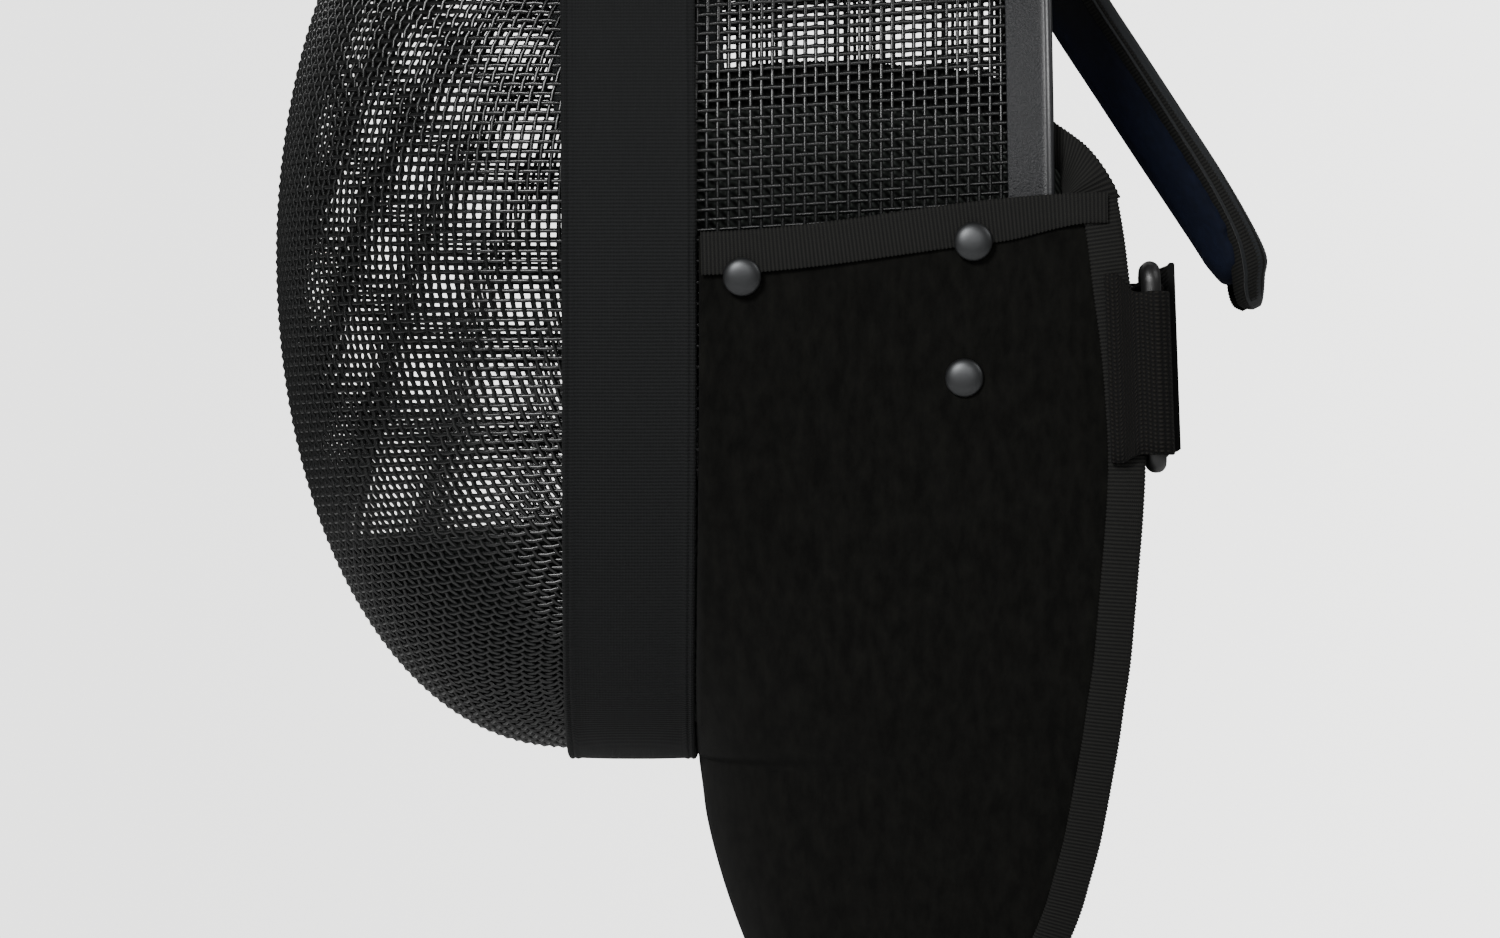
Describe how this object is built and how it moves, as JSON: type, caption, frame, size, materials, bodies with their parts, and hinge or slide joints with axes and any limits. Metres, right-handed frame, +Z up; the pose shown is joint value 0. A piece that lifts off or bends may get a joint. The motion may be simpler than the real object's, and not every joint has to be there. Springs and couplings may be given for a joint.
{
  "type": "fencing mask",
  "caption": "Fencing mask with a domed woven wire face, ribbed seam band, dark cloth bib, steel rear frame, padded back tongue and an elastic rear strap between two rings.",
  "frame": {"origin": "point on the underside of the head pad where the mask rests on the crown of the head", "axes": "+Z up the head, -Y out of the face, +X towards the wearer's left ear"},
  "size_m": [0.2138, 0.2937, 0.4207],
  "materials": {
    "coated_steel_wire": "satin black coating on woven wire",
    "ribbed_elastic": "matt woven elastic with fine cross ribs",
    "black_painted_steel": "grainy powder coat",
    "brushed_microfibre": "very dark brushed cloth",
    "ribbed_tape": "matt ribbed tape",
    "fleece_lining": "matt knit",
    "pad_cloth": "fuzzy brushed cloth over foam",
    "blue_black_velvet": "short dense pile",
    "blue_black_knit": "smooth knit with ribbed tape at its edge",
    "gunmetal_rivet": "dark satin metal",
    "black_plastic": "moulded, slightly glossy",
    "black_webbing": "coarse woven webbing"
  },
  "bodies": {
    "root": {"front_mesh": "coated_steel_wire", "rear_mesh": "coated_steel_wire", "seam_band": "ribbed_elastic", "rear_frame": "black_painted_steel", "bib": "brushed_microfibre", "bib_top_binding_left": "ribbed_tape", "bib_top_binding_right": "ribbed_tape", "bib_edge_binding": "ribbed_tape", "inner_lining": "fleece_lining", "lining_binding_left": "ribbed_tape", "lining_binding_right": "ribbed_tape", "head_pad": "pad_cloth", "tongue_pad": "blue_black_velvet", "tongue_back": "blue_black_knit", "rivet_front_left": "gunmetal_rivet", "rivet_front_right": "gunmetal_rivet", "rivet_upper_left": "gunmetal_rivet", "rivet_upper_right": "gunmetal_rivet", "rivet_lower_left": "gunmetal_rivet", "rivet_lower_right": "gunmetal_rivet", "ring_left": "black_plastic", "ring_right": "black_plastic", "ring_tab_left": "black_webbing", "ring_tab_right": "black_webbing", "rear_strap": "black_webbing"}
  },
  "joints": []
}
